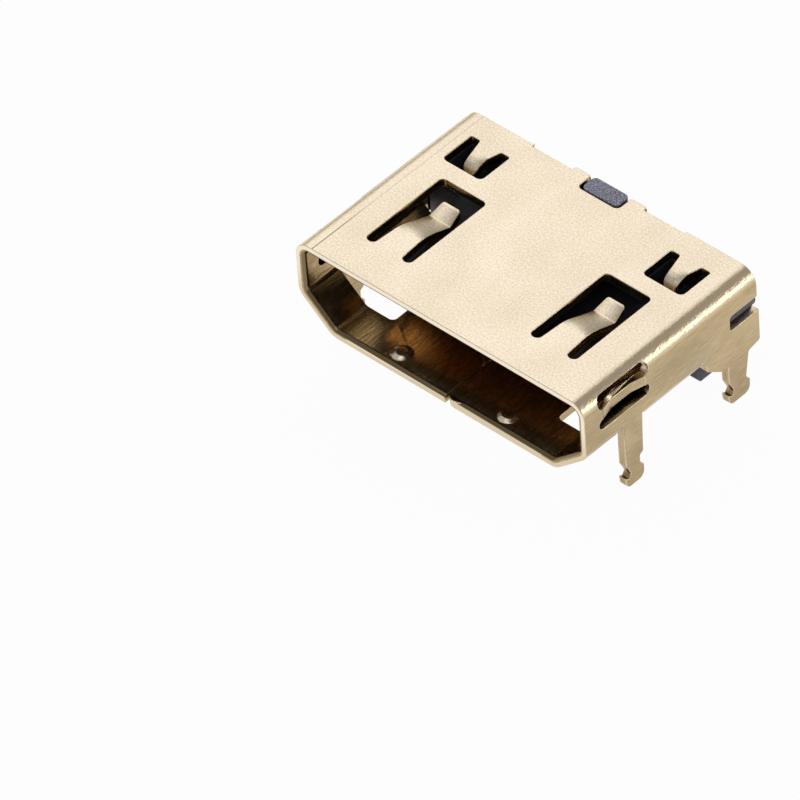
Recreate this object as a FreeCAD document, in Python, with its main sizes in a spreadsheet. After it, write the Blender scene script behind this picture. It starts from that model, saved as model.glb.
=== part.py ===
import FreeCAD, Part
import math
import os
import Sketcher

# A board socket for a digital video plug, mini size, in millimetres.
# Each piece is drawn from the mouth backwards: X runs across the socket, Y runs from
# the mouth's edge to the solder tails, and Z runs up from the circuit board.
# The finished pieces move forwards together, so that the origin lies on the board,
# midway between the two locating posts.

SIZES = [
    # The folded metal shell
    ("shell_width", 11.2, "shell, outside, side to side"),
    ("shell_height", 3.1, "shell, outside, board to top"),
    ("shell_depth", 7.4, "shell, mouth to rear edge"),
    ("sheet", 0.3, "thickness of the shell's sheet metal"),
    ("fold_radius", 0.55, "outside radius of every lengthwise fold"),
    ("floor_width", 8.7, "flat floor between the two bevels"),
    ("bevel_height", 1.1, "rise of the bevel from floor to side"),
    ("skirt_end", 5.0, "mouth to where the floor's sides and the bevels end"),
    ("floor_end", 6.43, "mouth to the rear edge of the floor's middle"),
    ("floor_tail", 5.8, "width of the floor's middle behind the bevels"),
    ("stamp_radius", 0.16, "corner radius that the punch leaves in a window"),
    # Spring fingers in the top
    ("finger_place", 3.19, "middle line to each finger's middle"),
    ("finger_window", 1.75, "width of the window round a finger"),
    ("finger_slot", 0.34, "width of the slot on each side of a finger"),
    ("finger_front", 1.33, "mouth to the front end of the slots"),
    ("finger_rear", 4.65, "mouth to the rear edge of the window"),
    ("finger_bend", 2.42, "mouth to where a finger starts to slope"),
    ("finger_waist", 2.94, "mouth to where a finger has narrowed to its neck"),
    ("finger_low", 3.54, "mouth to a finger's lowest point"),
    ("finger_tip", 4.1, "mouth to a finger's tip"),
    ("finger_neck", 0.85, "width of a finger from its waist to its lowest point"),
    ("finger_end", 0.68, "width of a finger at its tip"),
    ("finger_round", 0.11, "radius of the corners of a finger's tip"),
    ("finger_drop", 0.42, "how far a finger reaches into the mouth"),
    ("finger_rise", 0.22, "how far a finger's tip turns up again"),
    ("finger_curve", 1.0, "inside radius of the bend where a finger starts to slope"),
    # Holding tongues in the top
    ("tongue_place", 3.88, "middle line to each tongue's middle"),
    ("tongue_window", 1.5, "width of the window round a tongue"),
    ("tongue_slot", 0.33, "width of the slot beside a tongue's root"),
    ("tongue_front", 5.27, "mouth to the front edge of the window"),
    ("tongue_rear", 6.53, "mouth to a tongue's root"),
    ("tongue_waist", 6.02, "mouth to where a tongue has narrowed"),
    ("tongue_curl", 5.98, "mouth to where a tongue starts to curl down"),
    ("tongue_neck", 0.57, "width of a tongue where it has narrowed"),
    ("tongue_tip", 0.5, "width of a tongue near its tip"),
    ("tongue_round", 0.15, "radius of the corners of a tongue's tip"),
    ("tongue_gap", 0.25, "window's front edge to a tongue's tip"),
    ("tongue_drop", 0.26, "how far a tongue's tip is bent down"),
    # Side springs
    ("spring_front", 0.62, "mouth to the front end of a side spring"),
    ("spring_rear", 2.75, "mouth to the rear end of a side spring"),
    ("spring_middle", 2.3, "height of a side spring's middle"),
    ("spring_strip", 0.36, "height of the strip itself"),
    ("spring_slot_low", 0.37, "height of the slot under the strip"),
    ("spring_slot_high", 0.46, "height of the slot over the strip"),
    ("spring_root", 0.16, "length of flat strip left at each end of its slots"),
    ("spring_run", 0.5, "length over which the strip bows"),
    ("spring_bow", 0.13, "how far the strip bows into the mouth"),
    ("spring_curve", 0.9, "outside radius of the strip's bends"),
    # Legs
    ("leg_front", 1.62, "mouth to the front leg's front edge"),
    ("leg_width", 0.74, "width of the front leg along the socket"),
    ("leg_rear", 6.08, "mouth to the rear leg's front edge"),
    ("rear_leg_width", 0.88, "width of the rear leg along the socket"),
    ("leg_reach", 1.25, "board to a leg's tip"),
    ("leg_taper", 0.38, "board to where a leg's front edge slopes back"),
    ("hook_depth", 0.19, "depth of the notch over a leg's hook"),
    ("hook_neck", 0.79, "board to the notch's deepest place"),
    ("hook_seat", 0.94, "board to the notch's lower corner"),
    ("hook_point", 0.85, "board to the hook's point"),
    ("hook_nose", 0.04, "how far the hook's point stands in front of the leg"),
    ("waist_depth", 0.15, "how far a leg's rear edge is cut in over its heel"),
    ("waist_high", 0.34, "board to the top of that cut"),
    ("waist_low", 0.62, "board to the bottom of that cut"),
    ("heel_high", 0.78, "board to the top of a leg's heel"),
    ("shoulder_low", 0.25, "board to the front leg's shoulder over the cut"),
    ("leg_slot", 0.24, "slot beside a front leg's root"),
    ("leg_root", 1.12, "board to the top of the slots beside a front leg"),
    ("leg_cut", 6.4, "width of floor left between the front legs' cut-outs"),
    ("skirt_root", 1.26, "board to the sides' lower edge behind the skirt"),
    ("lug_front", 5.19, "mouth to the front of the rear leg's lug"),
    ("lug_rear", 7.46, "mouth to the rear of the rear leg's lug"),
    ("lug_brow", 0.98, "board to the top of the slot in front of the lug"),
    ("lug_nose", 0.72, "board to the foot of the lug's front edge"),
    ("lug_foot", 0.3, "board to the lug's foot, beside the rear leg"),
    # Rear slots, top notch and floor
    ("catch_front", 6.22, "mouth to the front end of a rear side slot"),
    ("catch_height", 1.85, "height of a rear side slot's middle"),
    ("catch_slot", 0.54, "height of a rear side slot"),
    ("notch_width", 1.55, "width of the notch in the top's rear edge"),
    ("notch_depth", 0.56, "depth of the notch in the top's rear edge"),
    ("lip_width", 0.62, "width of the lip on each side of the notch"),
    ("lip_reach", 0.06, "how far each lip stands back from the top's rear edge"),
    ("rim_width", 1.55, "width of the recess in the rear edge beside each lip"),
    ("rim_depth", 0.09, "depth of that recess"),
    ("dimple_place", 2.07, "middle line to each floor dimple"),
    ("dimple_front", 0.53, "mouth to the floor dimples"),
    ("dimple_width", 0.67, "diameter of a floor dimple"),
    ("dimple_flat", 0.37, "diameter of a floor dimple's flat top"),
    ("dimple_rise", 0.1, "height of a floor dimple"),
    ("window_place", 1.65, "middle line to each floor window"),
    ("window_width", 1.26, "width of a floor window"),
    ("window_front", 5.0, "mouth to a floor window's front edge"),
    ("window_length", 0.93, "length of a floor window"),
    ("seam_place", 0.1, "middle line to the seam in the floor"),
    ("seam_gap", 0.035, "gap in the seam"),
    ("joint_front", 1.98, "mouth to the front of the seam's locking tab"),
    ("joint_length", 2.47, "length of the seam's locking tab"),
    ("joint_reach", 0.8, "seam to the locking tab's outer edge"),
    ("joint_waist", 0.24, "seam to the locking tab's neck"),
    ("joint_neck", 0.09, "how far the locking tab's neck is cut in"),
    ("joint_round", 0.09, "radius of the locking tab's corners"),
    ("seam_corner", 0.28, "radius of the floor's front corner beside the seam"),
    ("coin_reach", 0.29, "seam to the line coined in the floor"),
    ("coin_front", 1.6, "mouth to the front end of the coined line"),
    ("coin_length", 3.0, "length of the coined line"),
    ("coin_width", 0.05, "width of the coined line"),
    ("coin_depth", 0.03, "depth of the coined line"),
    # The moulded housing
    ("fit", 0.03, "gap between the housing and the shell"),
    ("core_front", 5.25, "mouth to the front of the housing's block"),
    ("core_rear", 7.5, "mouth to the housing's rear face"),
    ("core_foot", 0.08, "board to the housing's underside"),
    ("blade_front", 1.1, "mouth to the front edge of the contact blade"),
    ("blade_width", 8.1, "width of the contact blade"),
    ("blade_low", 1.45, "board to the blade's contact side"),
    ("blade_thick", 0.55, "thickness of the contact blade"),
    ("post_place", 3.75, "middle line to each locating post"),
    ("post_setback", 5.86, "mouth to the locating posts"),
    ("post_width", 0.73, "diameter of a locating post"),
    ("post_reach", 0.8, "board to a locating post's tip"),
    ("post_chamfer", 0.1, "chamfer round a locating post's tip"),
    ("bar_front", 6.6, "mouth to the front of the cross bar"),
    ("bar_length", 0.35, "cross bar, front to back"),
    ("slot_length", 0.24, "slot behind the cross bar, front to back"),
    ("slot_width", 7.8, "slot behind the cross bar, side to side"),
    ("lip_foot", 0.06, "board to the ribs between the tails"),
    ("key_width", 1.36, "width of the key in the top notch"),
    ("rib_height", 0.26, "height of the rib in each rear side slot"),
    # The contacts
    ("pitch", 0.4, "contact to contact"),
    ("contact_width", 0.2, "width of a contact"),
    ("contact_thick", 0.15, "thickness of a contact"),
    ("contact_front", 1.5, "mouth to a contact's front end"),
    ("contact_bend", 0.2, "outside radius of a contact's bends"),
    ("tail_reach", 0.8, "housing's rear face to a tail's tip"),
    ("groove_fit", 0.01, "gap beside a contact in its groove"),
]
CONTACT_COUNT = 19

# How far a cut starts outside the metal or plastic that it goes through
CLEAR = 1.0
# A slot's round end has a radius just under half the slot's width
ROUND_END = 0.48
# An edge or a normal runs along an axis if it leans less than this cosine allows
ALONG = 0.99
# Two heights closer than this are the same
SAME = 1e-4


def make_sheet(doc):
    """Write every driving size into the document's sheet, one row each."""
    sheet = doc.addObject("Spreadsheet::Sheet", "sizes")
    for row, (alias, value, meaning) in enumerate(SIZES, start=1):
        sheet.set(f"A{row}", alias)
        sheet.set(f"B{row}", str(value))
        sheet.set(f"C{row}", meaning)
        sheet.setAlias(f"B{row}", alias)
    doc.recompute()
    return sheet


def number(item, rule):
    """The present value of a rule about the sheet's sizes."""
    return float(item.evalExpression(rule))


def new_body(doc, name):
    """An empty body that can be cut and padded."""
    body = doc.addObject("PartDesign::Body", name)
    body.Label = name
    return body


def new_sketch(body, name, plane, lift="0"):
    """A sketch on one of the body's own planes, lifted along the plane's normal."""
    sketch = body.newObject("Sketcher::SketchObject", name)
    feature = [item for item in body.Origin.OriginFeatures if item.Role == plane][0]
    sketch.AttachmentSupport = [(feature, "")]
    sketch.MapMode = "FlatFace"
    sketch.setExpression("AttachmentOffset.Base.z", lift)
    return sketch


def place(sketch, geometry, spot, across, up):
    """Two constraints that tie one point of the sketch to the sheet's sizes."""
    return [(Sketcher.Constraint(kind, -1, 1, geometry, spot, number(sketch, rule)), rule)
            for kind, rule in (("DistanceX", across), ("DistanceY", up))]


def constrain(sketch, pairs):
    """Add constraints in one go; a rule beside a constraint then drives its value."""
    first = sketch.ConstraintCount
    sketch.addConstraint([constraint for constraint, rule in pairs])
    for index, (constraint, rule) in enumerate(pairs, start=first):
        if rule is not None:
            sketch.setExpression(f"Constraints[{index}]", rule)


def corner_arc(spot, before, after, radius):
    """The arc that rounds a corner, where it meets both lines, and which way it turns."""
    coming = (before - spot).normalize()
    going = (after - spot).normalize()
    half = coming.getAngle(going) / 2
    entry = spot + coming * (radius / math.tan(half))
    leave = spot + going * (radius / math.tan(half))
    centre = spot + (coming + going).normalize() * (radius / math.sin(half))
    left_turn = coming.cross(going).z < 0
    start, end = (entry, leave) if left_turn else (leave, entry)
    angles = [math.atan2(end_point.y - centre.y, end_point.x - centre.x)
              for end_point in (start, end)]
    circle = Part.Circle(centre, FreeCAD.Vector(0, 0, 1), radius)
    return Part.ArcOfCircle(circle, *angles), entry, leave, left_turn


def outline(sketch, corners):
    """Draw a closed outline through corners of (across, up, radius) rules.

    A corner whose radius is None stays sharp. Each corner is tied to the sheet.
    """
    count = len(corners)
    spots = [FreeCAD.Vector(number(sketch, across), number(sketch, up), 0)
             for across, up, radius in corners]
    entries, exits, arcs = list(spots), list(spots), [None] * count
    for i, (across, up, radius) in enumerate(corners):
        if radius is not None:
            arc, entries[i], exits[i], left_turn = corner_arc(
                spots[i], spots[i - 1], spots[(i + 1) % count], number(sketch, radius))
            arcs[i] = (arc, left_turn)
    lines = [sketch.addGeometry(Part.LineSegment(exits[i], entries[(i + 1) % count]))
             for i in range(count)]
    pairs = []
    for i, (across, up, radius) in enumerate(corners):
        coming, going = lines[i - 1], lines[i]
        if arcs[i] is None:
            pairs.append((Sketcher.Constraint("Coincident", coming, 2, going, 1), None))
            pairs += place(sketch, going, 1, across, up)
            continue
        arc, left_turn = arcs[i]
        bend = sketch.addGeometry(arc)
        first, last = (1, 2) if left_turn else (2, 1)
        point = sketch.addGeometry(Part.Point(spots[i]), True)
        pairs.append((Sketcher.Constraint("Tangent", coming, 2, bend, first), None))
        pairs.append((Sketcher.Constraint("Tangent", going, 1, bend, last), None))
        pairs.append((Sketcher.Constraint("Radius", bend, number(sketch, radius)), radius))
        pairs.append((Sketcher.Constraint("PointOnObject", point, 1, coming), None))
        pairs.append((Sketcher.Constraint("PointOnObject", point, 1, going), None))
        pairs += place(sketch, point, 1, across, up)
    constrain(sketch, pairs)


def rectangle(sketch, left, right, low, high, radius=None):
    """A rectangle between four rules, its corners rounded if a radius is given."""
    outline(sketch, [(left, low, radius), (right, low, radius),
                     (right, high, radius), (left, high, radius)])


def mirrored(corners):
    """The same corners on the other side of the middle line, in the same turning order."""
    return [(f"-({across})", up, radius) for across, up, radius in reversed(corners)]


def circle(sketch, across, up, diameter):
    """A circle whose centre and size are tied to the sheet."""
    centre = FreeCAD.Vector(number(sketch, across), number(sketch, up), 0)
    width = number(sketch, diameter)
    ring = sketch.addGeometry(Part.Circle(centre, FreeCAD.Vector(0, 0, 1), width / 2))
    pairs = [(Sketcher.Constraint("Diameter", ring, width), diameter)]
    constrain(sketch, pairs + place(sketch, ring, 3, across, up))


def pad(body, name, sketch, length, backwards=False, both_ways=False):
    """Add material: the sketch's area over a length."""
    feature = body.newObject("PartDesign::Pad", name)
    feature.Profile = sketch
    feature.SideType = "Symmetric" if both_ways else "One side"
    feature.Reversed = backwards
    feature.setExpression("Length", length)
    body.Document.recompute()
    return feature


def pocket(body, name, sketch, length, backwards=False, both_ways=False):
    """Take material away: the sketch's area over a length. It has to cut something."""
    before = body.Shape.Volume
    feature = body.newObject("PartDesign::Pocket", name)
    feature.Profile = sketch
    feature.SideType = "Symmetric" if both_ways else "One side"
    feature.Reversed = backwards
    feature.setExpression("Length", length)
    body.Document.recompute()
    if body.Shape.Volume >= before:
        raise RuntimeError(f"{name} cuts nothing")
    return feature


def mirror(body, name, features):
    """Repeat features on the other side of the socket's middle plane."""
    plane = [item for item in body.Origin.OriginFeatures if item.Role == "YZ_Plane"][0]
    copy = body.newObject("PartDesign::Mirrored", name)
    copy.Originals = features
    copy.MirrorPlane = (plane, [""])
    body.Tip = copy
    body.Document.recompute()
    return copy


def fold_sheet(body):
    """The tube that the flat blank becomes: a flat top, two sides, two bevels and a floor."""
    side = "sizes.shell_width / 2"
    floor = "sizes.floor_width / 2"
    profile = new_sketch(body, "fold_profile", "XZ_Plane")
    right = [(floor, "0", None), (side, "sizes.bevel_height", None),
             (side, "sizes.shell_height", None)]
    outline(profile, right + mirrored(right))
    tube = pad(body, "fold_block", profile, "sizes.shell_depth", backwards=True)
    folds = body.newObject("PartDesign::Fillet", "folds")
    lengthwise = [f"Edge{i}" for i, edge in enumerate(tube.Shape.Edges, start=1)
                  if abs(edge.tangentAt(edge.FirstParameter).y) > ALONG]
    folds.Base = (tube, lengthwise)
    folds.setExpression("Radius", "sizes.fold_radius")
    body.Document.recompute()
    wall = body.newObject("PartDesign::Thickness", "sheet_wall")
    ends = [f"Face{i}" for i, face in enumerate(folds.Shape.Faces, start=1)
            if abs(face.normalAt(0, 0).y) > ALONG]
    wall.Base = (folds, ends)
    wall.Reversed = True
    wall.setExpression("Value", "sizes.sheet")
    body.Document.recompute()


def trim_floor(body):
    """Cut the floor and bevels away behind the skirt, and round the front legs."""
    side = f"sizes.shell_width / 2 + {CLEAR}"
    tail = "sizes.floor_tail / 2"
    rear = f"sizes.shell_depth + {CLEAR}"
    sketch = new_sketch(body, "floor_trim", "XY_Plane", f"-{CLEAR}")
    outline(sketch, [
        (f"-({side})", "sizes.skirt_end", None),
        (f"-({tail})", "sizes.skirt_end", "sizes.stamp_radius"),
        (f"-({tail})", "sizes.floor_end", "2 * sizes.stamp_radius"),
        (tail, "sizes.floor_end", "2 * sizes.stamp_radius"),
        (tail, "sizes.skirt_end", "sizes.stamp_radius"),
        (side, "sizes.skirt_end", None),
        (side, rear, None),
        (f"-({side})", rear, None)])
    pocket(body, "floor_trimmed", sketch, f"{CLEAR} + sizes.skirt_root", backwards=True)
    holes = new_sketch(body, "leg_holes", "XY_Plane", f"-{CLEAR}")
    front = "sizes.leg_front - sizes.leg_slot"
    back = "sizes.leg_front + sizes.leg_width + sizes.leg_slot"
    hole = [("sizes.leg_cut / 2", front, "sizes.stamp_radius"), (side, front, None),
            (side, back, None), ("sizes.leg_cut / 2", back, "sizes.stamp_radius")]
    outline(holes, hole)
    outline(holes, mirrored(hole))
    pocket(body, "leg_holes_cut", holes, f"{CLEAR} + sizes.leg_root", backwards=True)


def leg_corners(front, rear):
    """A leg's hooked end, in the plane of the side wall, from its front edge to its rear."""
    small = "sizes.sheet / 4"
    return [
        (front, "-sizes.leg_taper", small),
        (f"{front} + sizes.hook_depth", "-sizes.hook_neck", small),
        (f"{front} + sizes.hook_depth / 2", "-sizes.hook_seat", None),
        (f"{front} - sizes.hook_nose", "-sizes.hook_point", None),
        (front, "-sizes.leg_reach", "sizes.leg_width / 4"),
        (rear, "-sizes.leg_reach", "sizes.leg_width / 3"),
        (rear, "-sizes.heel_high", small),
        (f"{rear} - sizes.waist_depth", "-sizes.waist_low", small)]


def add_legs(body):
    """Four legs, stamped from the side walls and left standing in their plane."""
    inside = "sizes.shell_width / 2 - sizes.sheet"
    top = "sizes.bevel_height + sizes.fold_radius / 2"
    small = "sizes.sheet / 4"
    front = new_sketch(body, "front_leg", "YZ_Plane", inside)
    rear_edge = "sizes.leg_front + sizes.leg_width"
    outline(front, [("sizes.leg_front", top, None)]
            + leg_corners("sizes.leg_front", rear_edge) + [
        (f"{rear_edge} - sizes.waist_depth", "-sizes.waist_high", small),
        (rear_edge, "-sizes.shoulder_low", small),
        (rear_edge, top, None)])
    front_leg = pad(body, "front_leg_plate", front, "sizes.sheet")
    rear = new_sketch(body, "rear_leg", "YZ_Plane", inside)
    rear_edge = "sizes.leg_rear + sizes.rear_leg_width"
    outline(rear, [
        ("sizes.skirt_end", top, None),
        ("sizes.skirt_end", "sizes.lug_brow", None),
        ("sizes.lug_front", "sizes.lug_brow", small),
        ("sizes.lug_front", "sizes.lug_nose", "sizes.sheet / 3"),
        ("sizes.leg_rear - sizes.sheet", "sizes.lug_foot", "sizes.sheet / 3"),
        ("sizes.leg_rear", "sizes.lug_foot", "sizes.sheet / 3")]
        + leg_corners("sizes.leg_rear", rear_edge) + [
        (rear_edge, "sizes.lug_foot", "sizes.sheet / 3"),
        ("sizes.lug_rear", "sizes.lug_foot + sizes.sheet / 3", "sizes.sheet / 3"),
        ("sizes.lug_rear", "sizes.catch_height", "sizes.sheet / 2"),
        ("sizes.catch_front", "sizes.catch_height", None),
        ("sizes.catch_front", top, None)])
    rear_leg = pad(body, "rear_leg_plate", rear, "sizes.sheet")
    mirror(body, "legs_mirrored", [front_leg, rear_leg])


def bent_strip(sketch, turns, curves):
    """The side view of a sheet strip that leaves the top plate.

    Each turn is a (back from the mouth, down from the top) pair of rules, from the
    strip's flat root to its free end. Each curve is the inside radius of one turn
    between those two; its rule starts with a minus where the strip turns up again.
    """
    top = "sizes.shell_height"
    upper, lower = [], []
    for (back, down), curve in zip(turns, [None] + curves + [None]):
        over, under = None, None
        if curve is not None:
            upwards = curve.startswith("-")
            inside = curve.lstrip("-")
            outside = f"{inside} + sizes.sheet"
            over, under = (inside, outside) if upwards else (outside, inside)
        upper.append((back, f"{top} - ({down})", over))
        lower.append((back, f"{top} - sizes.sheet - ({down})", under))
    outline(sketch, upper + lower[::-1])


def press_fingers(body):
    """Two spring fingers in the top, each in its own window, sloping into the mouth."""
    features = []
    middle, half = "sizes.finger_place", "sizes.finger_window / 2"
    left, right = f"{middle} - {half}", f"{middle} + {half}"
    above = f"sizes.shell_height + {CLEAR}"
    gap = new_sketch(body, "finger_gap", "XY_Plane", above)
    flat_end = "sizes.finger_bend - sizes.finger_curve / 4"
    rectangle(gap, left, right, flat_end, "sizes.finger_rear", "sizes.stamp_radius")
    features.append(pocket(body, "finger_gap_cut", gap, f"{CLEAR} + 1.5 * sizes.sheet"))
    side = new_sketch(body, "finger_side", "YZ_Plane", middle)
    bent_strip(side, [
        (f"{flat_end} - sizes.sheet", "0"),
        ("sizes.finger_bend", "0"),
        ("sizes.finger_low", "sizes.finger_drop"),
        ("sizes.finger_tip + sizes.sheet",
         "sizes.finger_drop - sizes.finger_rise * (1 + sizes.sheet"
         " / (sizes.finger_tip - sizes.finger_low))")],
        ["sizes.finger_curve", "-sizes.sheet / 3"])
    features.append(pad(body, "finger_strip", side,
                        "sizes.finger_window - 2 * sizes.finger_slot", both_ways=True))
    plan = new_sketch(body, "finger_plan", "XY_Plane", above)
    root = f"({half} - sizes.finger_slot)"
    round_end = f"sizes.finger_slot * {ROUND_END}"
    neck, end = "sizes.finger_neck / 2", "sizes.finger_end / 2"
    outline(plan, [
        (left, "sizes.finger_front", round_end),
        (f"{middle} - {root}", "sizes.finger_front", round_end),
        (f"{middle} - {neck}", "sizes.finger_waist", "2 * sizes.sheet"),
        (f"{middle} - {neck}", "sizes.finger_low", None),
        (f"{middle} - {end}", "sizes.finger_tip", "sizes.finger_round"),
        (f"{middle} + {end}", "sizes.finger_tip", "sizes.finger_round"),
        (f"{middle} + {neck}", "sizes.finger_low", None),
        (f"{middle} + {neck}", "sizes.finger_waist", "2 * sizes.sheet"),
        (f"{middle} + {root}", "sizes.finger_front", round_end),
        (right, "sizes.finger_front", round_end),
        (right, "sizes.finger_rear", "sizes.stamp_radius"),
        (left, "sizes.finger_rear", "sizes.stamp_radius")])
    depth = f"{CLEAR} + 2 * sizes.sheet + sizes.finger_drop"
    features.append(pocket(body, "finger_slots", plan, depth))
    mirror(body, "fingers_mirrored", features)


def press_tongues(body):
    """Two tapered tongues behind the fingers, curled down to hold the housing."""
    features = []
    middle, half = "sizes.tongue_place", "sizes.tongue_window / 2"
    left, right = f"{middle} - {half}", f"{middle} + {half}"
    above = f"sizes.shell_height + {CLEAR}"
    tip = "(sizes.tongue_front + sizes.tongue_gap)"
    gap = new_sketch(body, "tongue_gap", "XY_Plane", above)
    flat_end = "sizes.tongue_curl + sizes.sheet / 2"
    rectangle(gap, left, right, "sizes.tongue_front", flat_end, "sizes.stamp_radius")
    features.append(pocket(body, "tongue_gap_cut", gap, f"{CLEAR} + 1.5 * sizes.sheet"))
    side = new_sketch(body, "tongue_side", "YZ_Plane", middle)
    curling = f"(sizes.tongue_curl - {tip})"
    bent_strip(side, [
        (f"{flat_end} + sizes.sheet / 2", "0"),
        ("sizes.tongue_curl", "0"),
        (f"{tip} + {curling} / 3", "sizes.tongue_drop / 2"),
        (f"{tip} - {curling} / 3", "sizes.tongue_drop * 2")],
        ["sizes.sheet", "sizes.sheet / 2"])
    features.append(pad(body, "tongue_strip", side,
                        "sizes.tongue_window - 2 * sizes.tongue_slot", both_ways=True))
    plan = new_sketch(body, "tongue_plan", "XY_Plane", above)
    root = f"({half} - sizes.tongue_slot)"
    neck, end = "sizes.tongue_neck / 2", "sizes.tongue_tip / 2"
    small = "sizes.stamp_radius / 2"
    outline(plan, [
        (left, "sizes.tongue_front", "sizes.stamp_radius"),
        (right, "sizes.tongue_front", "sizes.stamp_radius"),
        (right, "sizes.tongue_rear", small),
        (f"{middle} + {root}", "sizes.tongue_rear", small),
        (f"{middle} + {neck}", "sizes.tongue_waist", "sizes.sheet"),
        (f"{middle} + {end}", tip, "sizes.tongue_round"),
        (f"{middle} - {end}", tip, "sizes.tongue_round"),
        (f"{middle} - {neck}", "sizes.tongue_waist", "sizes.sheet"),
        (f"{middle} - {root}", "sizes.tongue_rear", small),
        (left, "sizes.tongue_rear", small)])
    depth = f"{CLEAR} + 2 * sizes.sheet + 2 * sizes.tongue_drop"
    features.append(pocket(body, "tongue_slots", plan, depth))
    mirror(body, "tongues_mirrored", features)


def press_side_springs(body):
    """A bowed strip between two lengthwise slots near the mouth, in each side."""
    low = "sizes.spring_middle - sizes.spring_strip / 2"
    high = "sizes.spring_middle + sizes.spring_strip / 2"
    front, rear = "sizes.spring_front", "sizes.spring_rear"
    side = "sizes.shell_width / 2"
    inner = f"{side} - sizes.sheet"
    through = f"sizes.fold_radius + {CLEAR}"
    lift = f"{side} - sizes.fold_radius"
    slots = new_sketch(body, "spring_slots", "YZ_Plane", lift)
    rectangle(slots, front, rear, f"{low} - sizes.spring_slot_low", low,
              f"sizes.spring_slot_low * {ROUND_END}")
    rectangle(slots, front, rear, high, f"{high} + sizes.spring_slot_high",
              f"sizes.spring_slot_high * {ROUND_END}")
    slotted = pocket(body, "spring_slots_cut", slots, through, backwards=True)
    bend_front, bend_rear = f"{front} + sizes.spring_root", f"{rear} - sizes.spring_root"
    middle = new_sketch(body, "spring_middle_part", "YZ_Plane", lift)
    rectangle(middle, bend_front, bend_rear, f"{low} - sizes.spring_slot_low / 2",
              f"{high} + sizes.spring_slot_high / 2")
    opened = pocket(body, "spring_middle_cut", middle, through, backwards=True)
    strip = new_sketch(body, "spring_strip_plan", "XY_Plane", low)
    outside, inside = "sizes.spring_curve", "sizes.spring_curve - sizes.sheet"
    bowed = [(front, None, None, "0"),
             (bend_front, outside, inside, "0"),
             (f"{bend_front} + sizes.spring_run", inside, outside, "sizes.spring_bow"),
             (f"{bend_rear} - sizes.spring_run", inside, outside, "sizes.spring_bow"),
             (bend_rear, outside, inside, "0"),
             (rear, None, None, "0")]
    outline(strip,
            [(f"{side} - {bow}", back, radius) for back, radius, other, bow in bowed]
            + [(f"{inner} - {bow}", back, radius) for back, other, radius, bow in bowed[::-1]])
    bow = pad(body, "spring_strip_bowed", strip, "sizes.spring_strip")
    mirror(body, "springs_mirrored", [slotted, opened, bow])


def cut_rear_edge(body):
    """The open slot at the rear of each side, and the notch and lips in the top's rear edge."""
    rear = f"sizes.shell_depth + {CLEAR}"
    notch = new_sketch(body, "notch_plan", "XY_Plane", f"sizes.shell_height + {CLEAR}")
    half = "sizes.notch_width / 2"
    front = "sizes.shell_depth - sizes.notch_depth"
    outline(notch, [(f"-{half}", front, "sizes.stamp_radius"), (half, front, "sizes.stamp_radius"),
                    (half, rear, None), (f"-{half}", rear, None)])
    recess = "sizes.shell_depth - sizes.rim_depth"
    lip_end = f"{half} + sizes.lip_width"
    rim = [(lip_end, recess, "sizes.rim_depth / 2"),
           (f"{lip_end} + sizes.rim_width", recess, "sizes.rim_depth / 2"),
           (f"{lip_end} + sizes.rim_width", rear, None), (lip_end, rear, None)]
    outline(notch, rim)
    outline(notch, mirrored(rim))
    pocket(body, "notch_cut", notch, f"{CLEAR} + 2 * sizes.sheet")
    lips = new_sketch(body, "lip_plan_top", "XY_Plane", "sizes.shell_height")
    back = "sizes.shell_depth + sizes.lip_reach"
    lip = [(half, recess, None), (lip_end, recess, None),
           (lip_end, back, "sizes.sheet / 3"), (half, back, "sizes.sheet / 3")]
    outline(lips, lip)
    outline(lips, mirrored(lip))
    pad(body, "lips", lips, "sizes.sheet", backwards=True)
    catch = new_sketch(body, "catch_slot", "YZ_Plane")
    low = "sizes.catch_height - sizes.catch_slot / 2"
    high = "sizes.catch_height + sizes.catch_slot / 2"
    past = f"sizes.lug_rear + {CLEAR}"
    outline(catch, [("sizes.catch_front", low, "sizes.sheet / 3"), (past, low, None),
                    (past, high, None), ("sizes.catch_front", high, "sizes.sheet / 3")])
    pocket(body, "catch_slots", catch, f"sizes.shell_width + {CLEAR}", both_ways=True)


def cut_floor(body):
    """Two windows and the locked seam in the floor."""
    through = f"{CLEAR} + 2 * sizes.sheet"
    windows = new_sketch(body, "window_plan", "XY_Plane", f"-{CLEAR}")
    half = "sizes.window_width / 2"
    back = "sizes.window_front + sizes.window_length"
    window = [
        (f"sizes.window_place - {half}", "sizes.window_front", "sizes.stamp_radius"),
        (f"sizes.window_place + {half}", "sizes.window_front", "sizes.stamp_radius"),
        (f"sizes.window_place + {half}", back, "2 * sizes.stamp_radius"),
        (f"sizes.window_place - {half}", back, "2 * sizes.stamp_radius")]
    outline(windows, window)
    outline(windows, mirrored(window))
    pocket(body, "windows_cut", windows, through, backwards=True)
    cut_seam(body, through)


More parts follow.
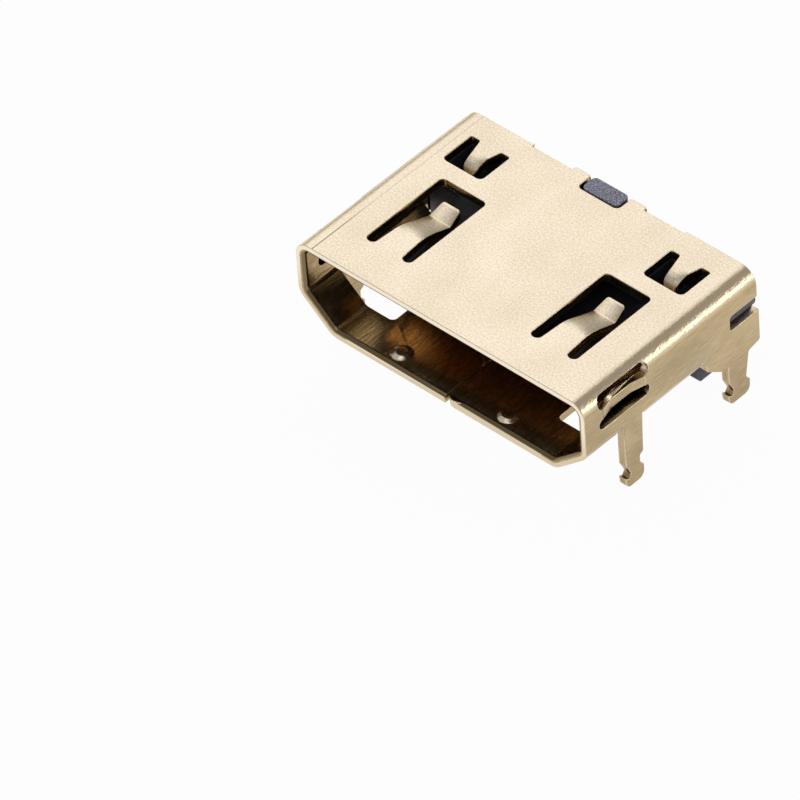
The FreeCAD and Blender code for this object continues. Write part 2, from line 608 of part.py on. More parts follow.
def press_dimples(body):
    """Two round dimples pressed up into the mouth."""
    wide, flat = "sizes.dimple_width / 2", "sizes.dimple_flat / 2"
    bump = new_sketch(body, "dimple_bump", "XZ_Plane", "-sizes.dimple_front")
    place = "sizes.dimple_place"
    top = "sizes.sheet + sizes.dimple_rise"
    outline(bump, [(place, "sizes.sheet / 2", None), (f"{place} + {wide}", "sizes.sheet / 2", None),
                   (f"{place} + {wide}", "sizes.sheet", None),
                   (f"{place} + {flat}", top, "sizes.dimple_rise"), (place, top, None)])
    raised = turn(body, "PartDesign::Revolution", "dimple_raised", bump)
    hollow = new_sketch(body, "dimple_hollow", "XZ_Plane", "-sizes.dimple_front")
    outline(hollow, [(place, "-sizes.sheet", None), (f"{place} + {wide}", "-sizes.sheet", None),
                     (f"{place} + {wide}", "0", None),
                     (f"{place} + {flat}", "sizes.dimple_rise", "sizes.dimple_rise"),
                     (place, "sizes.dimple_rise", None)])
    sunk = turn(body, "PartDesign::Groove", "dimple_sunk", hollow)
    mirror(body, "dimples_mirrored", [raised, sunk])


def turn(body, kind, name, sketch):
    """Turn a sketch once round its first point's upright line."""
    foot = sketch.Geometry[0].StartPoint
    head = FreeCAD.Vector(foot.x, foot.y + 1, 0)
    axis = sketch.addGeometry(Part.LineSegment(foot, head), True)
    sketch.addConstraint(Sketcher.Constraint("Coincident", axis, 1, 0, 1))
    sketch.addConstraint(Sketcher.Constraint("Vertical", axis))
    sketch.addConstraint(Sketcher.Constraint("Distance", axis, 1))
    feature = body.newObject(kind, name)
    feature.Profile = sketch
    feature.ReferenceAxis = (sketch, ["Axis0"])
    feature.Angle = 360
    body.Document.recompute()
    return feature


def cut_seam(body, through):
    """The butt seam where the blank's two edges meet, with the tab that locks them."""
    seam = new_sketch(body, "seam_plan", "XY_Plane", f"-{CLEAR}")
    place, half = "sizes.seam_place", "sizes.seam_gap / 2"
    head = "sizes.joint_front"
    tail = "sizes.joint_front + sizes.joint_length"
    reach = f"{place} + sizes.joint_reach"
    waist = f"{place} + sizes.joint_waist"
    neck = "sizes.joint_neck"
    wide, tight = f"sizes.joint_round + {half}", f"sizes.joint_round - {half}"
    outline(seam, [
        (f"{place} - {half}", f"-{CLEAR}", None),
        (f"{place} - {half}", f"{head} + {half}", wide),
        (f"{waist} - {half}", f"{head} + {neck} + {half}", None),
        (f"{reach} - {half}", f"{head} + {half}", tight),
        (f"{reach} - {half}", f"{tail} - {half}", tight),
        (f"{waist} - {half}", f"{tail} - {neck} - {half}", None),
        (f"{place} - {half}", f"{tail} - {half}", wide),
        (f"{place} - {half}", f"sizes.floor_end + {CLEAR}", None),
        (f"{place} + {half}", f"sizes.floor_end + {CLEAR}", None),
        (f"{place} + {half}", f"{tail} + {half}", tight),
        (f"{waist} + {half}", f"{tail} - {neck} + {half}", None),
        (f"{reach} + {half}", f"{tail} + {half}", wide),
        (f"{reach} + {half}", f"{head} - {half}", wide),
        (f"{waist} + {half}", f"{head} + {neck} - {half}", None),
        (f"{place} + {half}", f"{head} - {half}", tight),
        (f"{place} + {half}", "0", "sizes.seam_corner"),
        (f"{place} + {half} + 2 * sizes.seam_corner", "0", None),
        (f"{place} + {half} + 2 * sizes.seam_corner", f"-{CLEAR}", None)])
    pocket(body, "seam_cut", seam, through, backwards=True)
    coin_floor(body)


def coin_floor(body):
    """The line coined in the floor's upper face, out from the seam and back to it."""
    line = new_sketch(body, "coin_plan", "XY_Plane", f"sizes.sheet + {CLEAR}")
    seam, wide = "sizes.seam_place", "sizes.coin_width"
    far = f"{seam} - sizes.coin_reach"
    front = "sizes.coin_front"
    rear = "sizes.coin_front + sizes.coin_length"
    outline(line, [
        (seam, front, None),
        (seam, f"{front} + {wide}", None),
        (f"{far} + {wide}", f"{front} + sizes.coin_reach + {wide} / 2", None),
        (f"{far} + {wide}", f"{rear} - sizes.coin_reach - {wide} / 2", None),
        (seam, f"{rear} - {wide}", None),
        (seam, rear, None),
        (far, f"{rear} - sizes.coin_reach", None),
        (far, f"{front} + sizes.coin_reach", None)])
    pocket(body, "coined_line", line, f"{CLEAR} + sizes.coin_depth")


def make_shell(doc):
    """The shell: one stamped and folded sheet."""
    body = new_body(doc, "shell")
    fold_sheet(body)
    press_dimples(body)
    press_side_springs(body)
    press_fingers(body)
    press_tongues(body)
    cut_floor(body)
    trim_floor(body)
    add_legs(body)
    cut_rear_edge(body)
    return body


def mould_block(body):
    """The housing's block, which fills the rear of the shell, and its contact blade."""
    side = "sizes.shell_width / 2 - sizes.sheet - sizes.fit"
    top = "sizes.shell_height - sizes.sheet - sizes.fit"
    round_top = "sizes.fold_radius - sizes.sheet"
    section = new_sketch(body, "block_section", "XZ_Plane", "-sizes.core_front")
    outline(section, [
        (f"-({side})", "sizes.core_foot", "sizes.sheet / 3"),
        (side, "sizes.core_foot", "sizes.sheet / 3"),
        (side, top, round_top), (f"-({side})", top, round_top)])
    pad(body, "block", section, "sizes.core_rear - sizes.core_front", backwards=True)
    blade = new_sketch(body, "blade_plan", "XY_Plane", "sizes.blade_low")
    half = "sizes.blade_width / 2"
    outline(blade, [
        (f"-{half}", "sizes.blade_front", "sizes.sheet"), (half, "sizes.blade_front", "sizes.sheet"),
        (half, "sizes.core_front + sizes.sheet", None),
        (f"-{half}", "sizes.core_front + sizes.sheet", None)])
    pad(body, "blade", blade, "sizes.blade_thick")


def mould_underside(body):
    """The step for the shell's floor, the cross bar, the slot behind it and the tail lip."""
    tail = "sizes.floor_tail / 2 + sizes.fit"
    step = new_sketch(body, "floor_step", "XY_Plane", f"-{CLEAR}")
    rectangle(step, f"-({tail})", tail, f"sizes.core_front - {CLEAR}", "sizes.bar_front")
    pocket(body, "floor_step_cut", step, f"{CLEAR} + sizes.sheet + sizes.fit", backwards=True)
    half = "sizes.slot_width / 2"
    bar = new_sketch(body, "bar_plan", "XY_Plane")
    rectangle(bar, f"-({half} - sizes.sheet)", f"{half} - sizes.sheet", "sizes.bar_front",
              "sizes.bar_front + sizes.bar_length")
    pad(body, "bar", bar, "2 * sizes.core_foot")
    slot_front = "sizes.bar_front + sizes.bar_length"
    slot = new_sketch(body, "tail_slot", "XY_Plane", f"-{CLEAR}")
    rectangle(slot, f"-{half}", half, slot_front, f"{slot_front} + sizes.slot_length")
    pocket(body, "tail_slot_cut", slot,
           f"{CLEAR} + sizes.blade_low + sizes.contact_thick / 2 + sizes.groove_fit",
           backwards=True)
    lip = new_sketch(body, "lip_plan", "XY_Plane", "sizes.lip_foot")
    rectangle(lip, f"-{half}", half, f"{slot_front} + sizes.slot_length", "sizes.core_rear")
    pad(body, "lip", lip, "sizes.core_foot")


def mould_posts(body):
    """Two locating posts with chamfered tips."""
    sketch = new_sketch(body, "post_plan", "XY_Plane", "2 * sizes.core_foot")
    for place in ("sizes.post_place", "-sizes.post_place"):
        circle(sketch, place, "sizes.post_setback", "sizes.post_width")
    posts = pad(body, "posts", sketch, "sizes.post_reach + 2 * sizes.core_foot", backwards=True)
    depth = -number(body, "sizes.post_reach")
    tips = [f"Edge{i}" for i, edge in enumerate(posts.Shape.Edges, start=1)
            if edge.Closed and abs(edge.BoundBox.ZMax - depth) < SAME]
    chamfer = body.newObject("PartDesign::Chamfer", "post_tips")
    chamfer.Base = (posts, tips)
    chamfer.setExpression("Size", "sizes.post_chamfer")
    body.Document.recompute()


def mould_top(body):
    """The key that fills the shell's top notch, and the pockets for the holding tongues."""
    top = "sizes.shell_height - sizes.sheet - sizes.fit"
    key = new_sketch(body, "key_plan", "XY_Plane", f"{top} - sizes.sheet")
    half = "sizes.key_width / 2"
    front = "sizes.shell_depth - sizes.notch_depth + 2 * sizes.fit"
    rectangle(key, f"-{half}", half, front, "sizes.core_rear", "sizes.stamp_radius")
    pad(body, "key", key, "2 * sizes.sheet + sizes.fit")
    seats = new_sketch(body, "tongue_seats", "XY_Plane", f"sizes.shell_height + {CLEAR}")
    reach = "sizes.tongue_window / 2"
    seat = [
        (f"sizes.tongue_place - {reach}", f"sizes.core_front - {CLEAR}", None),
        (f"sizes.tongue_place + {reach}", f"sizes.core_front - {CLEAR}", None),
        (f"sizes.tongue_place + {reach}", "sizes.tongue_rear", None),
        (f"sizes.tongue_place - {reach}", "sizes.tongue_rear", None)]
    outline(seats, seat)
    outline(seats, mirrored(seat))
    pocket(body, "tongue_seats_cut", seats,
           f"{CLEAR} + 2 * sizes.sheet + 2 * sizes.tongue_drop + sizes.fit")


def mould_ribs(body):
    """A rib on each side, which stands in the shell's rear slot."""
    section = new_sketch(body, "rib_section", "YZ_Plane")
    half = "sizes.rib_height / 2"
    rectangle(section, "sizes.catch_front + sizes.rib_height / 2",
              "sizes.core_rear", f"sizes.catch_height - {half}", f"sizes.catch_height + {half}",
              "sizes.rib_height / 3")
    pad(body, "ribs", section, "sizes.shell_width - sizes.sheet", both_ways=True)


def groove_contacts(body):
    """One groove for each contact, along the blade, through the block and over the lip."""
    half = "(sizes.contact_width / 2 + sizes.groove_fit)"
    first = f"-{CONTACT_COUNT // 2} * sizes.pitch"
    rear = "sizes.bar_front + sizes.bar_length + sizes.slot_length / 2"
    groove = new_sketch(body, "groove_plan", "XY_Plane",
                        "sizes.blade_low - sizes.contact_thick / 2")
    rectangle(groove, f"{first} - {half}", f"{first} + {half}", "sizes.contact_front", rear)
    along = pocket(body, "groove_cut", groove, "sizes.contact_thick", backwards=True)
    rest = new_sketch(body, "tail_groove_plan", "XY_Plane", f"-{CLEAR}")
    rectangle(rest, f"{first} - {half}", f"{first} + {half}", rear, f"sizes.core_rear + {CLEAR}")
    over = pocket(body, "tail_groove_cut", rest, f"{CLEAR} + sizes.contact_thick", backwards=True)
    row = body.newObject("PartDesign::LinearPattern", "contact_grooves")
    row.Originals = [along, over]
    across = [item for item in body.Origin.OriginFeatures if item.Role == "X_Axis"][0]
    row.Direction = (across, [""])
    row.Occurrences = CONTACT_COUNT
    row.setExpression("Length", f"{CONTACT_COUNT - 1} * sizes.pitch")
    body.Tip = row
    body.Document.recompute()


def make_housing(doc):
    """The housing: one dark moulding that carries the contacts and the posts."""
    body = new_body(doc, "housing")
    mould_block(body)
    mould_underside(body)
    mould_posts(body)
    mould_top(body)
    mould_ribs(body)
    groove_contacts(body)
    return body


def make_contact(doc, index):
    """One contact: flat along the blade, down through the slot, and out as a tail."""
    body = new_body(doc, f"contact_{index + 1:02d}")
    thick = "sizes.contact_thick"
    high = f"sizes.blade_low + {thick} / 2"
    low = f"sizes.blade_low - {thick} / 2"
    down = "sizes.bar_front + sizes.bar_length + sizes.slot_length / 2"
    tip = "sizes.core_rear + sizes.tail_reach"
    side = new_sketch(body, f"strip_side_{index + 1:02d}", "YZ_Plane")
    outline(side, [
        ("sizes.contact_front", low, None),
        (f"{down} - {thick} / 2", low, None),
        (f"{down} - {thick} / 2", "0", "sizes.contact_bend"),
        (tip, "0", None),
        (tip, thick, None),
        (f"{down} + {thick} / 2", thick, None),
        (f"{down} + {thick} / 2", high, "sizes.contact_bend"),
        ("sizes.contact_front", high, None)])
    pad(body, f"strip_{index + 1:02d}", side, "sizes.contact_width", both_ways=True)
    body.setExpression("Placement.Base.x", f"{index - CONTACT_COUNT // 2} * sizes.pitch")
    return body


def check_and_write(doc, pieces):
    """Stop if any object has failed; otherwise write each piece to its own file."""
    for item in doc.Objects:
        if {"Invalid", "Error"} & set(item.State):
            raise RuntimeError(f"{item.Name} failed: {item.State}")
    for piece in pieces:
        if piece.Shape.isNull() or not piece.Shape.isValid() or len(piece.Shape.Solids) != 1:
            raise RuntimeError(f"{piece.Label} isn't one valid solid")
    os.makedirs("parts", exist_ok=True)
    for piece in pieces:
        piece.Shape.exportStep(f"parts/{piece.Label}.step")
        print(piece.Label, round(piece.Shape.Volume, 4), "cubic mm")


def main():
    doc = FreeCAD.newDocument("board_socket")
    make_sheet(doc)
    pieces = [make_shell(doc), make_housing(doc)]
    pieces += [make_contact(doc, index) for index in range(CONTACT_COUNT)]
    for piece in pieces:
        piece.setExpression("Placement.Base.y", "-sizes.post_setback")
    doc.recompute()
    check_and_write(doc, pieces)


main()
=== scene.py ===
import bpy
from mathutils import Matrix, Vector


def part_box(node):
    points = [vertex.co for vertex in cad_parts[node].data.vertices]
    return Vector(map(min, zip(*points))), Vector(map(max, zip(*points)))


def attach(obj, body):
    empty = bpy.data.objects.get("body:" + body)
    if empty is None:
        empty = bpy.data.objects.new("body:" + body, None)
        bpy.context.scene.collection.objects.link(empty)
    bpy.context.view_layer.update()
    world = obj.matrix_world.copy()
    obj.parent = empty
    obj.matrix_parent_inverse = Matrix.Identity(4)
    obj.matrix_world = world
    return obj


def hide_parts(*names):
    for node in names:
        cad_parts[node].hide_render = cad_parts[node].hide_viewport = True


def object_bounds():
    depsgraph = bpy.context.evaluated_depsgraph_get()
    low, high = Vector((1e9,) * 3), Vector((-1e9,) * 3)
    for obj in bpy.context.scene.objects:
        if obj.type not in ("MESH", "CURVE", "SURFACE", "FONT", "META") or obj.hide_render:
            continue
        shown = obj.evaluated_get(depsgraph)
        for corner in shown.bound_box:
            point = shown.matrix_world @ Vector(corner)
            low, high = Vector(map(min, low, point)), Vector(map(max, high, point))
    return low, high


bl_info = {
    "name": "Board socket",
    "version": (1, 0, 0),
    "blender": (4, 5, 0),
    "location": "View3D > Sidebar > Socket",
    "description": "Dresses the solids of a small board socket and sets up its studio",
    "category": "Object",
}

import math

import bmesh
import bpy
from mathutils import Matrix, Vector

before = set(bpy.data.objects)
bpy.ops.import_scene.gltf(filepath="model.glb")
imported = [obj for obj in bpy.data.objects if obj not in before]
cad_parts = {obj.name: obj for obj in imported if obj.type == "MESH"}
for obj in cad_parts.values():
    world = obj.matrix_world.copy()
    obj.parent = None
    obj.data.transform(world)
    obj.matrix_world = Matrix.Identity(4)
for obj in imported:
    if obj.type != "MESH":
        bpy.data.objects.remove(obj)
CAD_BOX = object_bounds()

MM = 0.001

# The camera's target on the socket, and where it falls in the square picture, in pixels
TARGET = (0.0, -1.86 * MM, 1.55 * MM)
PICTURE_SIDE = 800
TARGET_ACROSS = 533.9
TARGET_DOWN = 289.1
SENSOR = 36.0

# Faces of the shell and the housing that the finishes are placed by
SHELL_LOW, SHELL_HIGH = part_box("shell")
MOUTH = SHELL_LOW[1]
REAR = SHELL_HIGH[1]
TOP = SHELL_HIGH[2]
HOUSING_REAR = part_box("housing")[1][1]
CONTACTS = sorted(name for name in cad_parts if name.startswith("contact_"))

# Places on the shell: the mouth's middle, the slots in its sides, the dimples, the legs' roots
MOUTH_MIDDLE = TOP / 2 - 0.025 * MM
SLOTS_LOW = 1.8 * MM
SLOTS_HIGH = 2.8 * MM
SLOTS_BACK = -3.0 * MM
DIMPLES_ACROSS = 3.7 * MM
LEG_ROOTS = 0.7 * MM
SEAM_REACH = 0.5 * MM

# The sheet, and the middles of its lengthwise folds across and up
SHEET = 0.3 * MM
FOLD_RADIUS = 0.55 * MM
SIDE_FOLD = SHELL_HIGH[0] - FOLD_RADIUS
BEVEL_TOP = 1.349 * MM
BEVEL_FOOT = 4.142 * MM
FOLDS = [(side * across, up) for side in (-1, 1)
         for across, up in ((SIDE_FOLD, TOP - FOLD_RADIUS), (SIDE_FOLD, BEVEL_TOP),
                            (BEVEL_FOOT, FOLD_RADIUS))]

# How near counts as merged, as on a face and as on a fold
MERGE = 0.0002 * MM
TOUCH = 0.002 * MM
FOLD_SLACK = 0.008 * MM

# The most that a flat face turns, and the least that a rounded edge does
FLAT = math.radians(0.4)
SHARP = math.radians(32.0)

# Each lamp's name, azimuth and elevation in degrees, distance, width and height in metres,
# and brightness
LAMPS = (("lamp_rear_left", 238.0, 42.0, 0.6, 0.58, 0.58, 0.79),
         ("lamp_rear_right", 125.0, 16.0, 0.6, 0.5, 0.22, 2.2),
         ("lamp_front", 20.0, 55.0, 0.7, 0.5, 0.4, 0.7))

# The floor's half side in metres, and how white the camera and the metal see it
FLOOR_REACH = 1.5
FLOOR_WHITE = 0.96


def length(label, text, default):
    """A small length that a user can change, in metres."""
    return bpy.props.FloatProperty(name=label, description=text, default=default, min=0.0,
                                   precision=6, subtype="DISTANCE", unit="LENGTH")


def angle(label, text, degrees):
    """An angle that a user can change."""
    return bpy.props.FloatProperty(name=label, description=text, default=math.radians(degrees),
                                   subtype="ANGLE", unit="ROTATION")


def share(label, text, default, highest=1.0):
    """A plain number from nothing up to its highest value."""
    return bpy.props.FloatProperty(name=label, description=text, default=default, min=0.0,
                                   max=highest, subtype="FACTOR")


def colour(label, text, default):
    """A colour that a user can change."""
    return bpy.props.FloatVectorProperty(name=label, description=text, default=default, size=3,
                                         min=0.0, max=1.0, subtype="COLOR")


class SheetSettings(bpy.types.PropertyGroup):
    """Finish of the folded metal shell, with painted light and shade in its colours."""

    edge_round: length("Edge rounding", "Width of the rounding on each cut edge", 0.026 * MM)
    mouth_round: length("Mouth rounding", "Width of the lead-in round the mouth", 0.16 * MM)
    grain: length("Grain", "Size of the speckle in the satin plating", 0.062 * MM)
    grain_depth: length("Grain depth", "Height of the speckle", 0.004 * MM)
    peel: length("Fold ripple", "Size of the ripples that bending leaves in a fold", 0.1 * MM)
    peel_depth: length("Fold ripple depth", "Height of those ripples", 0.011 * MM)
    brush_width: length("Brush mark width", "Width of the lengthwise marks on the sides", 0.035 * MM)
    brush_length: length("Brush mark length", "Length of the lengthwise marks", 0.5 * MM)
    brush_depth: length("Brush mark depth", "Height of the lengthwise marks", 0.0016 * MM)
    crease: length("Crease", "Middle line to the bending tool's line on the top", 4.925 * MM)
    crease_depth: length("Crease depth", "Depth of that line", 0.006 * MM)
    pale: colour("Pale plating", "Lightest colour of the satin top", (0.96, 0.845, 0.67))
    deep: colour("Deep plating", "Darkest colour of the satin top", (0.70, 0.59, 0.435))
    # The sides get a darker colour than the top as painted shade; their streaks are brush marks.
    tan: colour("Side plating in painted shade", "Colour of the brushed sides, darkened as painted shade", (0.50, 0.380, 0.212))
    # A lighter colour on the folds than on the sides, as painted light.
    half_light: colour("Half-light plating", "Painted light on the folds and the low mouth rim",
                      (0.74, 0.60, 0.41))
    inner_shade: colour("Inner shade", "Painted shade inside the mouth", (0.54, 0.395, 0.215))
    copper: colour("Inner floor shade", "Painted shade on the mouth's floor, in a warm copper tone", (1.0, 0.74, 0.40))
    satin: share("Satin roughness", "Roughness of the top", 0.33)
    brushed: share("Brushed roughness", "Roughness of the sides", 0.24)
    inner: share("Inner roughness", "Roughness inside the mouth and in the windows", 0.19)


class PlasticSettings(bpy.types.PropertyGroup):
    """Finish of the dark moulding, with painted shade and painted light in its colours."""

    edge_round: length("Edge rounding", "Width of the rounding on each moulded edge", 0.03 * MM)
    grain: length("Grain", "Size of the spark-eroded texture", 0.042 * MM)
    grain_depth: length("Grain depth", "Height of the texture", 0.006 * MM)
    flow_depth: length("Flow line depth", "Height of the flow lines on the rear", 0.003 * MM)
    dark: colour("Dark plastic", "Darkest colour of the moulding", (0.035, 0.035, 0.050))
    light: colour("Light plastic", "Lightest colour of the moulding", (0.150, 0.152, 0.200))
    key: colour("Key plastic", "Lightest colour of the key's top, as painted light", (0.44, 0.44, 0.56))
    roughness: share("Roughness", "Roughness of the moulding", 0.5)


class ContactSettings(bpy.types.PropertyGroup):
    """Finish of the contacts, with painted shade on their blades."""

    edge_round: length("Edge rounding", "Width of the rounding on each stamped edge", 0.018 * MM)
    tail: colour("Tail plating", "Colour of the solder tails", (0.90, 0.78, 0.52))
    blade: colour("Blade shade", "Painted shade on the contacts inside the mouth", (0.80, 0.46, 0.20))
    mark_depth: length("Drawing mark depth", "Height of the lengthwise marks", 0.002 * MM)
    roughness: share("Roughness", "Roughness of the plating", 0.26)


class StudioSettings(bpy.types.PropertyGroup):
    """Camera, floor and lamps."""

    azimuth: angle("Azimuth", "How far round the camera stands, from the mouth to the right", 45.54)
    elevation: angle("Elevation", "How far the camera looks down", 43.35)
    roll: angle("Roll", "How far the camera leans", 4.26)
    distance: length("Distance", "Camera to its target on the socket", 294.0 * MM)
    scale: bpy.props.FloatProperty(name="Scale", description="Picture points in a millimetre",
                                   default=34.68, min=1.0)
    floor: colour("Floor", "Colour of the floor", (0.86, 0.86, 0.86))
    world: share("World", "Strength of the even light from all round", 0.40, 4.0)


def settings(group):
    """One of the scene's setting groups."""
    return getattr(bpy.context.scene, f"socket_{group}")


def add_node(tree, kind, values=None, **choices):
    """A new node with its choices made and its unlinked inputs set."""
    node = tree.nodes.new(kind)
    for key, value in choices.items():
        setattr(node, key, value)
    for key, value in (values or {}).items():
        node.inputs[key].default_value = value
    return node


def feed(tree, socket, term):
    """Link a socket to another one, or set it to a plain value."""
    if isinstance(term, bpy.types.NodeSocket):
        tree.links.new(term, socket)
    else:
        socket.default_value = term


def compute(tree, operation, *terms):
    """One step of arithmetic on sockets and plain numbers."""
    node = add_node(tree, "ShaderNodeMath", operation=operation)
    for socket, term in zip(node.inputs, terms):
        feed(tree, socket, term)
    return node.outputs[0]


def all_of(tree, *masks):
    """Where all of several masks hold."""
    joined = masks[0]
    for mask in masks[1:]:
        joined = compute(tree, "MULTIPLY", joined, mask)
    return joined


def any_of(tree, *masks):
    """Where any of several masks holds."""
    joined = masks[0]
    for mask in masks[1:]:
        joined = compute(tree, "MAXIMUM", joined, mask)
    return joined


def ramp(tree, term, low, high, start=0.0, end=1.0):
    """A smooth step of a number from low to high."""
    node = add_node(tree, "ShaderNodeMapRange", interpolation_type="SMOOTHSTEP",
                    values={"From Min": low, "From Max": high, "To Min": start, "To Max": end})
    feed(tree, node.inputs["Value"], term)
    return node.outputs["Result"]


def between(tree, term, low, high, fade):
    """One from low to high, fading to nothing on either side."""
    return all_of(tree, ramp(tree, term, low - fade, low), ramp(tree, term, high + fade, high))


def beyond(tree, term, near, far):
    """A smooth step of a number's size, whatever its sign."""
    return ramp(tree, compute(tree, "ABSOLUTE", term), near, far)


def blend_numbers(tree, factor, first, second):
    """One number turning into another."""
    node = add_node(tree, "ShaderNodeMix", data_type="FLOAT")
    feed(tree, node.inputs[0], factor)
    feed(tree, node.inputs[2], first)
    feed(tree, node.inputs[3], second)
    return node.outputs[0]


def varied(tree, level, texture, spread):
    """A level that a texture moves up and down by half a spread."""
    return compute(tree, "ADD", level - spread / 2, compute(tree, "MULTIPLY", texture, spread))


def toned(shade, factor):
    """A colour made darker or lighter."""
    return [min(1.0, part * factor) for part in shade]


def mix_colours(tree, factor, first, second, blend="MIX"):
    """One colour turning into another."""
    node = add_node(tree, "ShaderNodeMix", data_type="RGBA", blend_type=blend)
    feed(tree, node.inputs["Factor"], factor)
    for name, term in (("A", first), ("B", second)):
        socket = [s for s in node.inputs if s.name == name and s.type == "RGBA"][0]
        feed(tree, socket, term if isinstance(term, bpy.types.NodeSocket) else (*term, 1.0))
    return [s for s in node.outputs if s.type == "RGBA"][0]


def place_and_normal(tree):
    """The surface's place and its normal, both in the socket's own frame, in parts."""
    source = add_node(tree, "ShaderNodeTexCoord")
    place = add_node(tree, "ShaderNodeSeparateXYZ")
    tree.links.new(source.outputs["Object"], place.inputs[0])
    normal = add_node(tree, "ShaderNodeSeparateXYZ")
    tree.links.new(source.outputs["Normal"], normal.inputs[0])
    return source, place.outputs, normal.outputs


def noise(tree, source, cell, detail=2.0, roughness=0.5, distortion=0.0):
    """Smooth noise whose cells measure so much along each axis, in metres."""
    stretch = add_node(tree, "ShaderNodeVectorMath", operation="MULTIPLY")
    tree.links.new(source.outputs["Object"], stretch.inputs[0])
    stretch.inputs[1].default_value = [1.0 / side for side in cell]
    texture = add_node(tree, "ShaderNodeTexNoise",
                       values={"Scale": 1.0, "Detail": detail, "Roughness": roughness,
                               "Distortion": distortion})
    tree.links.new(stretch.outputs[0], texture.inputs["Vector"])
    return texture.outputs["Fac"]


def bump(tree, height, depth, below=None):
    """Raise the surface by a height between 0 and 1 times a depth in metres."""
    node = add_node(tree, "ShaderNodeBump", values={"Strength": 1.0})
    feed(tree, node.inputs["Distance"], depth)
    tree.links.new(height, node.inputs["Height"])
    if below is not None:
        tree.links.new(below, node.inputs["Normal"])
    return node.outputs["Normal"]


def new_material(name):
    """A material with only its surface shader, ready to be fed."""
    material = bpy.data.materials.new(name)
    material.use_nodes = True
    tree = material.node_tree
    shader = tree.nodes["Principled BSDF"]
    return material, tree, shader


def outward_reach(tree, place, normal):
    """How far a face looks away from the mouth's middle line; below 0 it looks inward."""
    upward = compute(tree, "SUBTRACT", place["Z"], MOUTH_MIDDLE)
    return compute(tree, "ADD", compute(tree, "MULTIPLY", normal["X"], place["X"]),
                   compute(tree, "MULTIPLY", normal["Z"], upward))


def lead_in(tree, place, normal, outward):
    """The rounded lead-in that runs round the mouth."""
    return all_of(tree, ramp(tree, outward, 0.0, -0.1 * MM),
                  ramp(tree, place["Y"], MOUTH + 0.17 * MM, MOUTH + 0.14 * MM),
                  ramp(tree, normal["Y"], -0.97, -0.85))


def mouth_rim(tree, place, normal):
    """The cut edge of the sheet round the mouth."""
    return all_of(tree, ramp(tree, normal["Y"], -0.9, -0.98),
                  ramp(tree, place["Y"], MOUTH + 0.04 * MM, MOUTH + 0.01 * MM))


def dimple_sides(tree, place, normal, inside):
    """The slopes of the two dimples in the mouth's floor, which are painted pale as a highlight."""
    return all_of(tree, inside, ramp(tree, normal["Z"], 0.985, 0.93),
                  ramp(tree, place["Z"], SHEET + 0.4 * MM, SHEET + 0.3 * MM),
                  beyond(tree, place["X"], DIMPLES_ACROSS + 0.2 * MM, DIMPLES_ACROSS))


def window_edges(tree, place, normal):
    """Where the punch cut through the top: upright faces below its outer skin."""
    return all_of(tree, beyond(tree, normal["Z"], 0.55, 0.25),
                  ramp(tree, place["Z"], TOP - 0.45 * MM, TOP - 0.35 * MM),
                  beyond(tree, place["X"], SIDE_FOLD, SIDE_FOLD - 0.05 * MM),
                  between(tree, place["Y"], MOUTH + 0.2 * MM, REAR - 0.25 * MM, 0.1 * MM))


def slot_floors(tree, place, normal):
    """The upward cut faces of the two slots in each side and of the spring between them."""
    return all_of(tree, ramp(tree, normal["Z"], 0.8, 0.95),
                  beyond(tree, place["X"], 5.1 * MM, 5.15 * MM),
                  between(tree, place["Z"], SLOTS_LOW, SLOTS_HIGH, 0.1 * MM),
                  ramp(tree, place["Y"], SLOTS_BACK + 0.1 * MM, SLOTS_BACK))


def low_sides(tree, place):
    """The low part of both sides and the legs, cut faces included, behind the mouth's rim."""
    return all_of(tree, beyond(tree, place["X"], 5.15 * MM, 5.28 * MM),
                  ramp(tree, place["Y"], MOUTH + 0.05 * MM, MOUTH + 0.12 * MM),
                  ramp(tree, place["Z"], SLOTS_LOW - 0.2 * MM, SLOTS_LOW - 0.4 * MM))


def crease_line(tree, look, place, normal):
    """The fine line that the bending tool left beside the left fold, deeper near the mouth; its dark
    colour is painted shade.
    """
    beside = compute(tree, "ADD", place["X"], look.crease)
    return all_of(tree, beyond(tree, beside, 0.022 * MM, 0.008 * MM),
                  ramp(tree, normal["Z"], 0.9, 0.98),
                  ramp(tree, place["Y"], -4.9 * MM, -3.2 * MM, 0.85, 0.3))


def speck_distance(tree, source, cell):
    """Distance to the nearest of scattered points, in cells of a size in metres."""
    texture = add_node(tree, "ShaderNodeTexVoronoi", values={"Scale": 1.0 / cell})
    tree.links.new(source.outputs["Object"], texture.inputs["Vector"])
    return texture.outputs["Distance"]


def outer_colour(tree, look, textures, place, side, fold):
    """Satin on top; streaked and darker on the sides as painted shade, lighter on the folds as
    painted light, and darker down the legs as painted shade.
    """
    grain, cloud, marks = textures
    speckle = ramp(tree, blend_numbers(tree, 0.2, grain, cloud), 0.34, 0.66)
    satin = mix_colours(tree, speckle, look.deep, look.pale)
    streak = ramp(tree, blend_numbers(tree, 0.4, marks, cloud), 0.38, 0.64)
    # Painted shade: the streaked sides take the darker side colour.
    streaked = mix_colours(tree, streak, toned(look.tan, 0.80), toned(look.tan, 1.16))
    # Painted shade: the sides darken towards the bottom of the legs.
    painted_leg_shade = mix_colours(tree, 1.0, streaked, (0.80, 0.77, 0.74), blend="MULTIPLY")
    legs = ramp(tree, place["Z"], LEG_ROOTS, LEG_ROOTS - 0.9 * MM, 0.0, 0.75)
    # Painted light: the folds take the lighter half-light colour.
    sides_and_folds = mix_colours(tree, fold, mix_colours(tree, legs, streaked, painted_leg_shade), look.half_light)
    return mix_colours(tree, any_of(tree, side, low_sides(tree, place)), satin, sides_and_folds)


